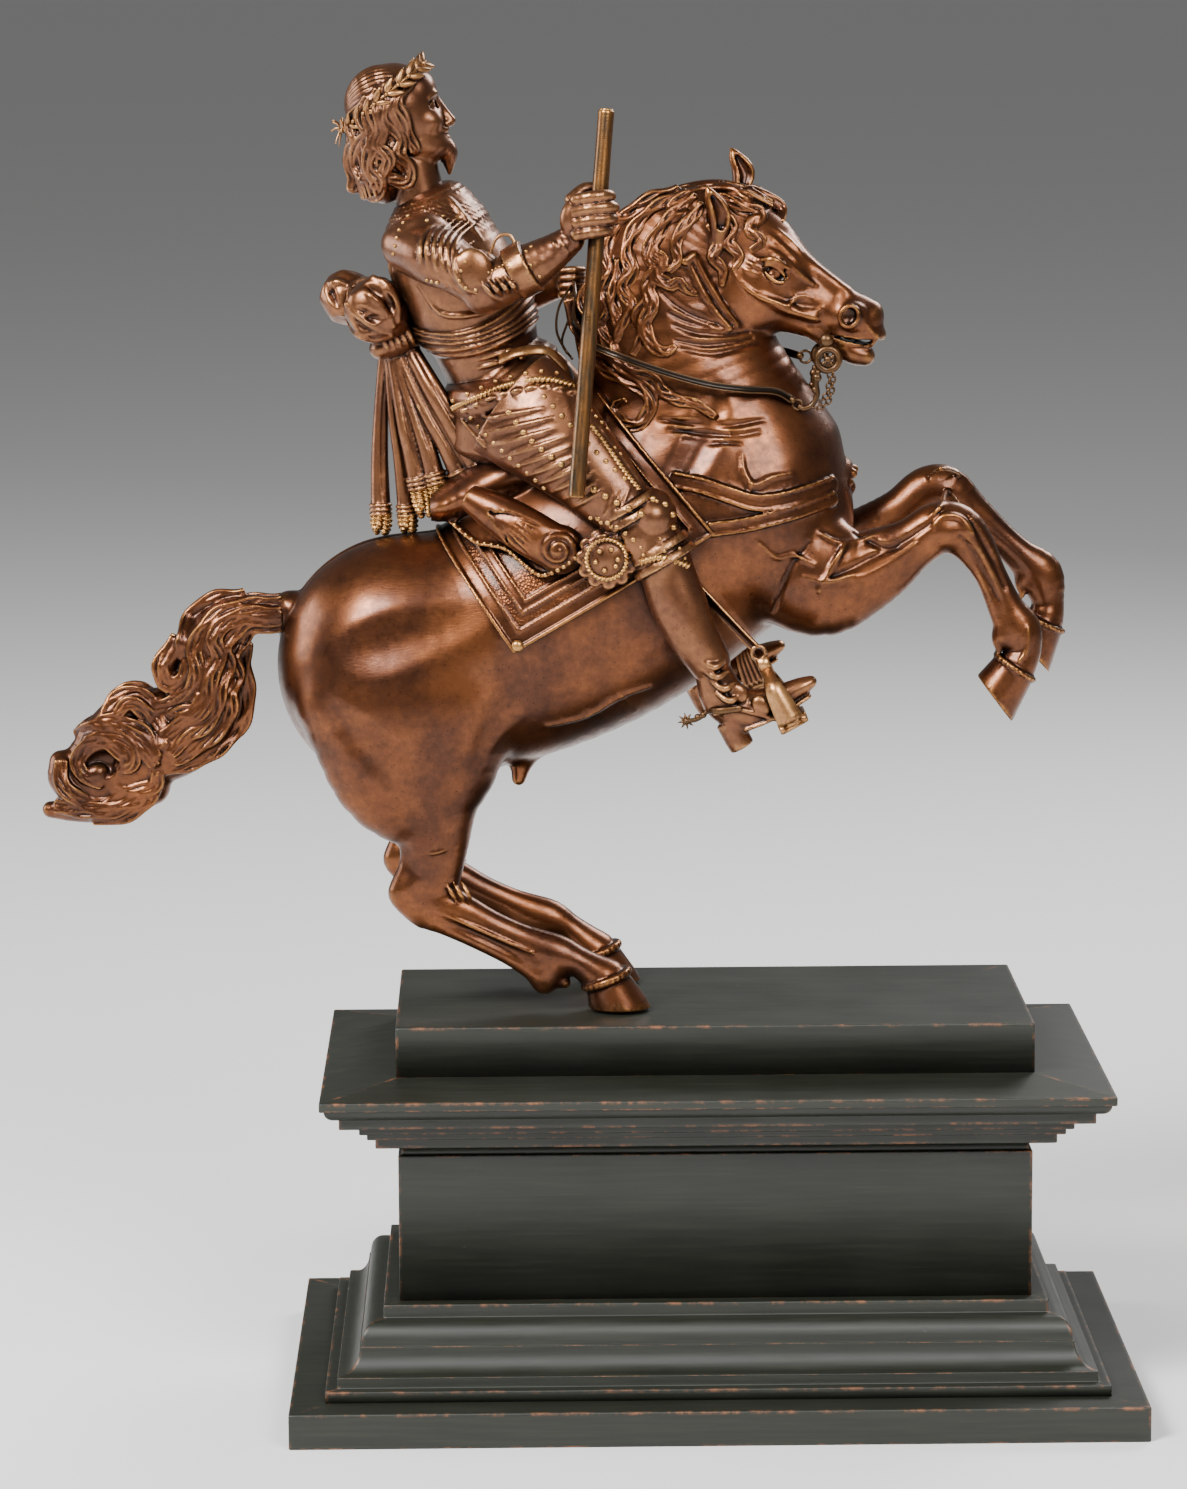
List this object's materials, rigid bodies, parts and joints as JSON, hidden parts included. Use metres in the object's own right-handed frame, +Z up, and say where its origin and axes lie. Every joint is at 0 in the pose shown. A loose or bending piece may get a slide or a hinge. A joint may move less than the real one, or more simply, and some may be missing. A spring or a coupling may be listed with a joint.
{
  "type": "equestrian statuette",
  "caption": "Bronze statuette of an armoured rider with a raised baton on a rearing horse, standing on a moulded rectangular wooden plinth with a stepped cornice.",
  "frame": {"origin": "centre of the underside of the plinth's foot slab", "axes": "+Z up from the underside, +X the way the horse faces, -Y its near side"},
  "size_m": [0.4375, 0.2046, 0.5409],
  "materials": {
    "ebonised_wood": "satin, stained black with a little of the grain showing",
    "brown_bronze": "satin, reddish brown lacquered patina worn golden on the edges",
    "pale_bronze": "satin, lighter tan patina, chased",
    "dark_bronze": "satin, dark greenish brown"
  },
  "bodies": {
    "root": {"plinth_foot_slab": "ebonised_wood", "plinth_base_moulding": "ebonised_wood", "plinth_die": "ebonised_wood", "plinth_cornice": "ebonised_wood", "plinth_top_block": "ebonised_wood", "horse": "brown_bronze", "horse_tail": "brown_bronze", "saddle_cloth": "brown_bronze", "saddle": "brown_bronze", "rider": "pale_bronze", "laurel_wreath": "pale_bronze", "baton": "dark_bronze", "sash_bow": "pale_bronze", "curb_bit": "dark_bronze", "near_rein": "brown_bronze", "far_rein": "brown_bronze", "near_stirrup": "brown_bronze", "far_stirrup": "brown_bronze", "near_stirrup_leather": "brown_bronze", "far_stirrup_leather": "brown_bronze", "near_spur": "dark_bronze", "far_spur": "dark_bronze"}
  },
  "joints": []
}
